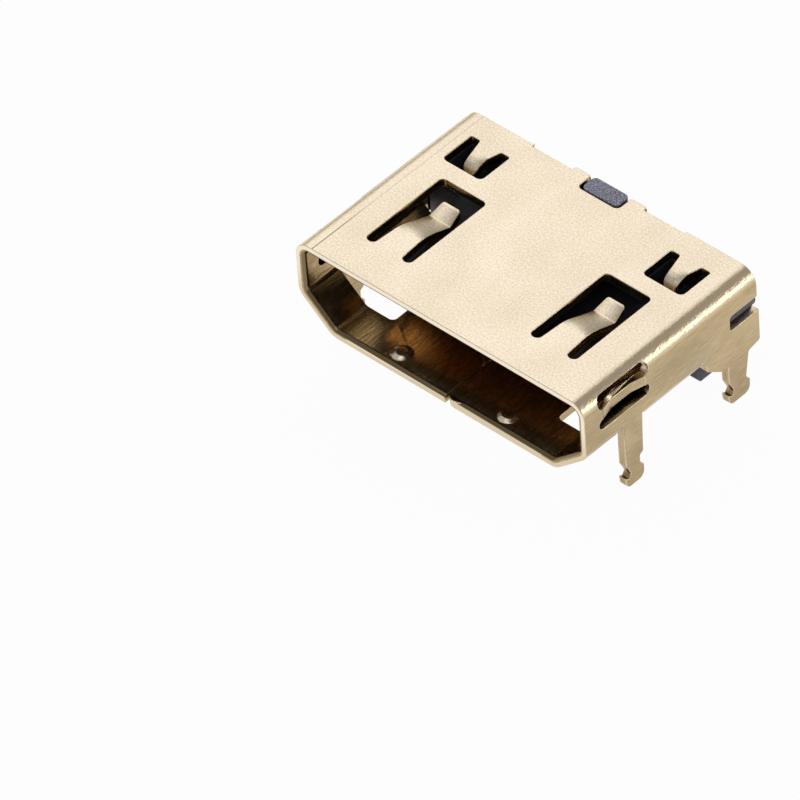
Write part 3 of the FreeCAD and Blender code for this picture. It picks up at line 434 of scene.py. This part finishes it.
def lining_colour(tree, look, source, marks, normal):
    """Painted shade inside the mouth, in the windows and in the slots, warmer on upward faces,
    rubbed along its length and dusted with specks.
    """
    painted_lining = mix_colours(tree, ramp(tree, normal["Z"], 0.8, 0.95), look.inner_shade, look.copper)
    rubbed = mix_colours(tree, 1.0, painted_lining, (0.55, 0.52, 0.46), blend="MULTIPLY")
    worn = mix_colours(tree, ramp(tree, marks, 0.36, 0.62), rubbed, painted_lining)
    specks = ramp(tree, speck_distance(tree, source, 0.42 * MM), 0.075, 0.04)
    return mix_colours(tree, compute(tree, "MULTIPLY", specks, 0.8), worn, look.pale)


def sheet_material(look):
    """Pale gold plating: satin and speckled on top, brushed along the sides; painted shade darkens
    the sides, the legs, the inside and the slots, and painted light brightens the folds, the mouth's
    rim and the dimples.
    """
    material, tree, shader = new_material("gold_plated_sheet")
    source, place, normal = place_and_normal(tree)
    grain = noise(tree, source, [look.grain] * 3, detail=3.0, roughness=0.65)
    cloud = noise(tree, source, [1.6 * MM, 2.4 * MM, 1.6 * MM], detail=3.0)
    peel = noise(tree, source, [look.peel, look.peel * 1.5, look.peel], detail=2.0)
    marks = noise(tree, source, [look.brush_width, look.brush_length, look.brush_width],
                  detail=4.0, roughness=0.62)

    side = beyond(tree, normal["X"], 0.08, 0.34)
    fold = all_of(tree, side, beyond(tree, normal["X"], 0.99, 0.88))
    outward = outward_reach(tree, place, normal)
    inside = all_of(tree, ramp(tree, outward, -0.1 * MM, -0.6 * MM),
                    ramp(tree, place["Z"], 0.0, 0.15 * MM))
    slots = slot_floors(tree, place, normal)
    # Painted shade: the inside of the mouth, the windows' cut faces and the slots' floors take the
    # darker lining colour.
    hidden = any_of(tree, slots, inside, window_edges(tree, place, normal))
    crease = crease_line(tree, look, place, normal)

    outer = outer_colour(tree, look, (grain, cloud, marks), place, side, fold)
    # Painted light: the mouth's cut rim is pale at the top and darker towards the bottom.
    rim = mix_colours(tree, ramp(tree, place["Z"], 0.8 * MM, 2.4 * MM), look.half_light, look.pale)
    with_painted_rim_light = mix_colours(tree, mouth_rim(tree, place, normal), outer, rim)
    lining = lining_colour(tree, look, source, marks, normal)
    plated = mix_colours(tree, hidden, with_painted_rim_light, lining)
    # Painted highlight: the dimples' slopes inside the mouth take the pale colour.
    with_dimple_highlight = mix_colours(tree, dimple_sides(tree, place, normal, inside), plated, look.pale)
    # Painted shade: the lead-in round the mouth and the slots' floors are darkened towards a deep
    # bronze.
    shaded = any_of(tree, lead_in(tree, place, normal, outward),
                    compute(tree, "MULTIPLY", slots, 0.85))
    with_painted_shade = mix_colours(tree, shaded, with_dimple_highlight, toned(look.inner_shade, 0.4))
    # Painted shade: the crease line is darkened, more near the mouth.
    creased = mix_colours(tree, crease, with_painted_shade, toned(look.tan, 0.55))
    tree.links.new(creased, shader.inputs["Base Color"])

    shader.inputs["Metallic"].default_value = 1.0
    smooth = varied(tree, look.satin, grain, 0.1)
    sides_and_folds = varied(tree, look.brushed, marks, 0.16)
    polish = blend_numbers(tree, hidden, blend_numbers(tree, side, smooth, sides_and_folds), look.inner)
    tree.links.new(polish, shader.inputs["Roughness"])

    speckled = bump(tree, grain, look.grain_depth)
    ripples = all_of(tree, peel, fold, blend_numbers(tree, inside, 1.0, 0.15))
    rippled = bump(tree, ripples, look.peel_depth, speckled)
    strokes = all_of(tree, marks, any_of(tree, side, inside))
    brushed = bump(tree, strokes, look.brush_depth, rippled)
    lined = bump(tree, compute(tree, "SUBTRACT", 1.0, crease), look.crease_depth, brushed)
    tree.links.new(lined, shader.inputs["Normal"])
    return material


def flow_lines(tree, source, cloud, rear):
    """Rings where the melt ran together, faint and in patches on the rear face."""
    rings = add_node(tree, "ShaderNodeTexWave", wave_type="RINGS", rings_direction="Y",
                     values={"Scale": 1.0, "Distortion": 9.0, "Detail": 3.0, "Detail Scale": 0.3,
                             "Detail Roughness": 0.62})
    spread = add_node(tree, "ShaderNodeVectorMath", operation="MULTIPLY")
    tree.links.new(source.outputs["Object"], spread.inputs[0])
    spread.inputs[1].default_value = (1.5 / MM, 1.5 / MM, 2.2 / MM)
    tree.links.new(spread.outputs[0], rings.inputs["Vector"])
    return all_of(tree, ramp(tree, rings.outputs["Fac"], 0.8, 1.0), rear,
                  ramp(tree, cloud, 0.42, 0.62))


def plastic_material(look):
    """Dark slate plastic with a spark-eroded grain and faint flow lines at the rear, darker on its
    inner faces as painted shade and lighter on the key's top as painted light.
    """
    material, tree, shader = new_material("dark_plastic")
    source, place, normal = place_and_normal(tree)
    grain = noise(tree, source, [look.grain] * 3, detail=4.0, roughness=0.7)
    cloud = noise(tree, source, [0.9 * MM] * 3, detail=3.0, distortion=0.6)
    rear = ramp(tree, normal["Y"], 0.6, 0.95)
    lines = flow_lines(tree, source, cloud, rear)

    # Painted shade: faces other than the rear, the top, the bottom and the outer sides are painted
    # darker.
    open_faces = any_of(tree, rear, ramp(tree, place["Z"], TOP - 0.2 * MM, TOP - 0.1 * MM),
                        ramp(tree, place["Z"], 0.25 * MM, 0.05 * MM),
                        beyond(tree, place["X"], 5.0 * MM, 5.2 * MM))
    speckle = ramp(tree, blend_numbers(tree, 0.3, grain, cloud), 0.38, 0.64)
    eroded_tone = mix_colours(tree, speckle, look.dark, look.light)
    moulded = mix_colours(tree, open_faces, toned(look.dark, 0.5), eroded_tone)
    # Painted light: the key's top is made lighter than the rest of the moulding.
    painted_key_light = mix_colours(tree, ramp(tree, grain, 0.40, 0.60), toned(look.dark, 2.2), look.key)
    on_key = ramp(tree, place["Z"], TOP - 0.04 * MM, TOP - 0.02 * MM)
    base = mix_colours(tree, on_key, moulded, painted_key_light)
    lined = mix_colours(tree, compute(tree, "MULTIPLY", lines, 0.22), base,
                        toned(look.light, 1.5))
    tree.links.new(lined, shader.inputs["Base Color"])

    tree.links.new(varied(tree, look.roughness, grain, 0.2), shader.inputs["Roughness"])
    eroded = bump(tree, grain, look.grain_depth)
    tree.links.new(bump(tree, lines, look.flow_depth, eroded), shader.inputs["Normal"])
    return material


def contact_material(look):
    """Gold plating on the tails, turning to a darker copper tone along the blade as painted shade.
    """
    material, tree, shader = new_material("contact_metal")
    source, place, _ = place_and_normal(tree)
    marks = noise(tree, source, [0.035 * MM, 0.35 * MM, 0.035 * MM], detail=3.0)
    cloud = noise(tree, source, [0.25 * MM] * 3, detail=2.0)
    # Painted shade: the blades inside the housing take the darker copper colour.
    behind = ramp(tree, place["Y"], HOUSING_REAR - 1.2 * MM, HOUSING_REAR - 0.6 * MM)
    tint = add_node(tree, "ShaderNodeHueSaturation")
    tree.links.new(mix_colours(tree, behind, look.blade, look.tail), tint.inputs["Color"])
    shade = compute(tree, "ADD", 0.72, compute(tree, "MULTIPLY", cloud, 0.5))
    tree.links.new(shade, tint.inputs["Value"])
    tree.links.new(tint.outputs["Color"], shader.inputs["Base Color"])
    shader.inputs["Metallic"].default_value = 1.0
    tree.links.new(varied(tree, look.roughness, marks, 0.12), shader.inputs["Roughness"])
    tree.links.new(bump(tree, marks, look.mark_depth), shader.inputs["Normal"])
    return material


def is_mouth_edge(edge):
    """Whether an edge is on the mouth's inner rim, where the sheet has its lead-in."""
    if len(edge.link_faces) != 2 or edge.calc_face_angle(0.0) < SHARP:
        return False
    if any(abs(end.co.y - MOUTH) > TOUCH for end in edge.verts):
        return False
    middle = (edge.verts[0].co + edge.verts[1].co) / 2
    outward = Vector((middle.x, 0.0, middle.z - TOP / 2))
    beside_seam = abs(middle.x) < SEAM_REACH and middle.z < MM
    return not beside_seam and any(abs(face.normal.y) < 0.5 and face.normal.dot(outward) < 0.0
                                   for face in edge.link_faces)


def whole_faces(node, mouth_round):
    """A copy of one solid's mesh with whole flat faces, marked where its edges are rounded."""
    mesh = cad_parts[node].data.copy()
    shape = bmesh.new()
    shape.from_mesh(mesh)
    bmesh.ops.remove_doubles(shape, verts=shape.verts, dist=MERGE)
    bmesh.ops.dissolve_limit(shape, angle_limit=FLAT, verts=shape.verts, edges=shape.edges)
    if mouth_round > 0.0:
        bmesh.ops.bevel(shape, geom=[edge for edge in shape.edges if is_mouth_edge(edge)],
                        offset=mouth_round, offset_type="OFFSET", segments=3, profile=0.5,
                        affect="EDGES", clamp_overlap=False)
    for face in shape.faces:
        face.smooth = True
        face.material_index = 0
    weight = shape.edges.layers.float.new("bevel_weight_edge")
    for edge in shape.edges:
        sharp = len(edge.link_faces) == 2 and edge.calc_face_angle(0.0) > SHARP
        edge[weight] = 1.0 if sharp else 0.0
    shape.to_mesh(mesh)
    shape.free()
    mesh.materials.clear()
    return mesh


def keep_in_box(mesh, node):
    """Hold every corner of the rounded mesh within its solid's own box."""
    low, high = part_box(node)
    for corner in mesh.vertices:
        corner.co = [max(low[i], min(high[i], corner.co[i])) for i in range(3)]


def smooth_folds(mesh):
    """Give the folds the true normals of their round faces, however finely they are cut up."""
    normals = [corner.vector.copy() for corner in mesh.corner_normals]
    for face in mesh.polygons:
        if abs(face.normal.y) > 0.1:
            continue
        for across, up in FOLDS:
            from_middle = Vector((face.center.x - across, 0.0, face.center.z - up))
            reach = from_middle.length
            if min(abs(reach - FOLD_RADIUS), abs(reach - FOLD_RADIUS + SHEET)) > FOLD_SLACK:
                continue
            if abs(face.normal.dot(from_middle.normalized())) < 0.985:
                continue
            turn = math.copysign(1.0, face.normal.dot(from_middle))
            for loop in face.loop_indices:
                spot = mesh.vertices[mesh.loops[loop].vertex_index].co
                normals[loop] = turn * Vector((spot.x - across, 0.0, spot.z - up)).normalized()
    mesh.normals_split_custom_set(normals)


def dress(node, name, material, edge_round, mouth_round=0.0):
    """Stand a piece with rounded edges in one solid's place."""
    piece = bpy.data.objects.new(name, whole_faces(node, mouth_round))
    bpy.context.collection.objects.link(piece)
    rounding = piece.modifiers.new("edge_rounding", "BEVEL")
    rounding.width = edge_round
    rounding.segments = 2
    rounding.limit_method = "WEIGHT"
    rounding.use_clamp_overlap = False
    rounding.miter_outer = "MITER_ARC"
    flatten = piece.modifiers.new("flat_faces", "WEIGHTED_NORMAL")
    flatten.mode = "FACE_AREA"
    flatten.weight = 60
    graph = bpy.context.evaluated_depsgraph_get()
    rounded = bpy.data.meshes.new_from_object(piece.evaluated_get(graph), depsgraph=graph)
    piece.modifiers.clear()
    piece.data = rounded
    keep_in_box(rounded, node)
    if node == "shell":
        smooth_folds(rounded)
    rounded.materials.clear()
    rounded.materials.append(material)
    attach(piece, "root")
    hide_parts(node)


class SOCKET_OT_dress_shell(bpy.types.Operator):
    """Give the folded shell its rounded edges and its plating"""

    bl_idname = "socket.dress_shell"
    bl_label = "Dress the shell"

    def execute(self, context):
        look = settings("sheet")
        dress("shell", "folded_shell", sheet_material(look),
              look.edge_round, look.mouth_round)
        return {"FINISHED"}


class SOCKET_OT_dress_housing(bpy.types.Operator):
    """Give the moulded housing its rounded edges and its grain"""

    bl_idname = "socket.dress_housing"
    bl_label = "Dress the housing"

    def execute(self, context):
        look = settings("plastic")
        dress("housing", "moulded_housing", plastic_material(look),
              look.edge_round)
        return {"FINISHED"}


class SOCKET_OT_dress_contacts(bpy.types.Operator):
    """Give every contact its rounded edges and its plating"""

    bl_idname = "socket.dress_contacts"
    bl_label = "Dress the contacts"

    def execute(self, context):
        look = settings("contact")
        material = contact_material(look)
        for name in CONTACTS:
            dress(name, f"stamped_{name}", material, look.edge_round)
        return {"FINISHED"}


def floor_material(look):
    """A pale floor that looks white in the picture and in the metal, and keeps a shadow."""
    material, tree, shader = new_material("pale_floor")
    source = add_node(tree, "ShaderNodeTexCoord")
    paper = noise(tree, source, [0.4 * MM] * 3)
    shade = mix_colours(tree, paper, toned(look.floor, 0.985), look.floor)
    tree.links.new(shade, shader.inputs["Base Color"])
    shader.inputs["Roughness"].default_value = 0.9
    shader.inputs["Specular IOR Level"].default_value = 0.1
    glow = add_node(tree, "ShaderNodeEmission", values={"Strength": 1.0})
    path = add_node(tree, "ShaderNodeLightPath")
    seen = any_of(tree, path.outputs["Is Camera Ray"], path.outputs["Is Glossy Ray"],
                  path.outputs["Is Transmission Ray"])
    mixed = add_node(tree, "ShaderNodeMixShader")
    feed(tree, mixed.inputs[0], compute(tree, "MULTIPLY", seen, FLOOR_WHITE))
    tree.links.new(shader.outputs[0], mixed.inputs[1])
    tree.links.new(glow.outputs[0], mixed.inputs[2])
    tree.links.new(mixed.outputs[0], tree.nodes["Material Output"].inputs["Surface"])
    return material


def add_floor(look):
    """The floor, just under the tips of the legs."""
    low = CAD_BOX[0][2] - TOUCH
    corners = [(across * FLOOR_REACH, along * FLOOR_REACH, low)
               for across, along in ((-1, -1), (1, -1), (1, 1), (-1, 1))]
    mesh = bpy.data.meshes.new("floor")
    mesh.from_pydata(corners, [], [(0, 1, 2, 3)])
    floor = bpy.data.objects.new("floor", mesh)
    bpy.context.collection.objects.link(floor)
    mesh.materials.append(floor_material(look))


def standing_at(azimuth, elevation):
    """The direction from the socket to something that stands round it."""
    return Vector((math.sin(azimuth) * math.cos(elevation),
                   -math.cos(azimuth) * math.cos(elevation), math.sin(elevation)))


def add_softbox(name, azimuth, elevation, distance, width, height, brightness):
    """A rectangular lamp, turned to the socket; brightness 1 shows as white in a mirror."""
    lamp = bpy.data.lights.new(name, "AREA")
    lamp.shape = "RECTANGLE"
    lamp.size = width
    lamp.size_y = height
    lamp.energy = brightness * math.pi * width * height
    body = bpy.data.objects.new(name, lamp)
    bpy.context.collection.objects.link(body)
    body.location = standing_at(math.radians(azimuth), math.radians(elevation)) * distance
    body.rotation_euler = (-body.location).to_track_quat("-Z", "Y").to_euler()


def add_world(strength):
    """Even light from all round, and a white background in the picture."""
    world = bpy.data.worlds.new("studio")
    bpy.context.scene.world = world
    world.use_nodes = True
    tree = world.node_tree
    path = add_node(tree, "ShaderNodeLightPath")
    level = blend_numbers(tree, path.outputs["Is Camera Ray"], strength, 1.0)
    background = tree.nodes["Background"]
    background.inputs["Color"].default_value = (1.0, 1.0, 1.0, 1.0)
    tree.links.new(level, background.inputs["Strength"])


def add_camera(look):
    """The camera, standing and leaning as it did for the photograph."""
    back = standing_at(look.azimuth, look.elevation)
    right = Vector((math.cos(look.azimuth), math.sin(look.azimuth), 0.0))
    up = back.cross(right)
    leaning_right = right * math.cos(look.roll) - up * math.sin(look.roll)
    leaning_up = right * math.sin(look.roll) + up * math.cos(look.roll)
    across = (TARGET_ACROSS - PICTURE_SIDE / 2) / look.scale * MM
    upward = (PICTURE_SIDE / 2 - TARGET_DOWN) / look.scale * MM
    data = bpy.data.cameras.new("camera")
    data.sensor_width = SENSOR
    data.lens = SENSOR * look.scale * (look.distance / MM) / PICTURE_SIDE
    data.clip_start = 0.01
    data.clip_end = 20.0
    camera = bpy.data.objects.new("camera", data)
    bpy.context.collection.objects.link(camera)
    camera.location = (Vector(TARGET) + back * look.distance
                       - leaning_right * across - leaning_up * upward)
    camera.rotation_euler = Matrix((leaning_right, leaning_up, back)).transposed().to_euler()
    bpy.context.scene.camera = camera


class SOCKET_OT_set_studio(bpy.types.Operator):
    """Put up the floor, the lamps and the camera"""

    bl_idname = "socket.set_studio"
    bl_label = "Set up the studio"

    def execute(self, context):
        look = settings("studio")
        add_floor(look)
        add_world(look.world)
        for lamp in LAMPS:
            add_softbox(*lamp)
        add_camera(look)
        context.scene.view_settings.view_transform = "Standard"
        return {"FINISHED"}


class SOCKET_PT_panel(bpy.types.Panel):
    """Lists the settings of every finish and the buttons that use them"""

    bl_label = "Socket"
    bl_space_type = "VIEW_3D"
    bl_region_type = "UI"
    bl_category = "Socket"

    def draw(self, context):
        for group, (operator, kind) in GROUPS.items():
            box = self.layout.box()
            for name in kind.__annotations__:
                box.prop(settings(group), name)
            box.operator(operator)


GROUPS = {
    "sheet": ("socket.dress_shell", SheetSettings),
    "plastic": ("socket.dress_housing", PlasticSettings),
    "contact": ("socket.dress_contacts", ContactSettings),
    "studio": ("socket.set_studio", StudioSettings),
}
CLASSES = (SheetSettings, PlasticSettings, ContactSettings, StudioSettings,
           SOCKET_OT_dress_shell, SOCKET_OT_dress_housing, SOCKET_OT_dress_contacts,
           SOCKET_OT_set_studio, SOCKET_PT_panel)


def register():
    for kind in CLASSES:
        bpy.utils.register_class(kind)
    for group, (operator, kind) in GROUPS.items():
        setattr(bpy.types.Scene, f"socket_{group}", bpy.props.PointerProperty(type=kind))


def unregister():
    for group in GROUPS:
        delattr(bpy.types.Scene, f"socket_{group}")
    for kind in reversed(CLASSES):
        bpy.utils.unregister_class(kind)


def main():
    register()
    bpy.ops.socket.dress_shell()
    bpy.ops.socket.dress_housing()
    bpy.ops.socket.dress_contacts()
    bpy.ops.socket.set_studio()


if __name__ == "__main__":
    main()
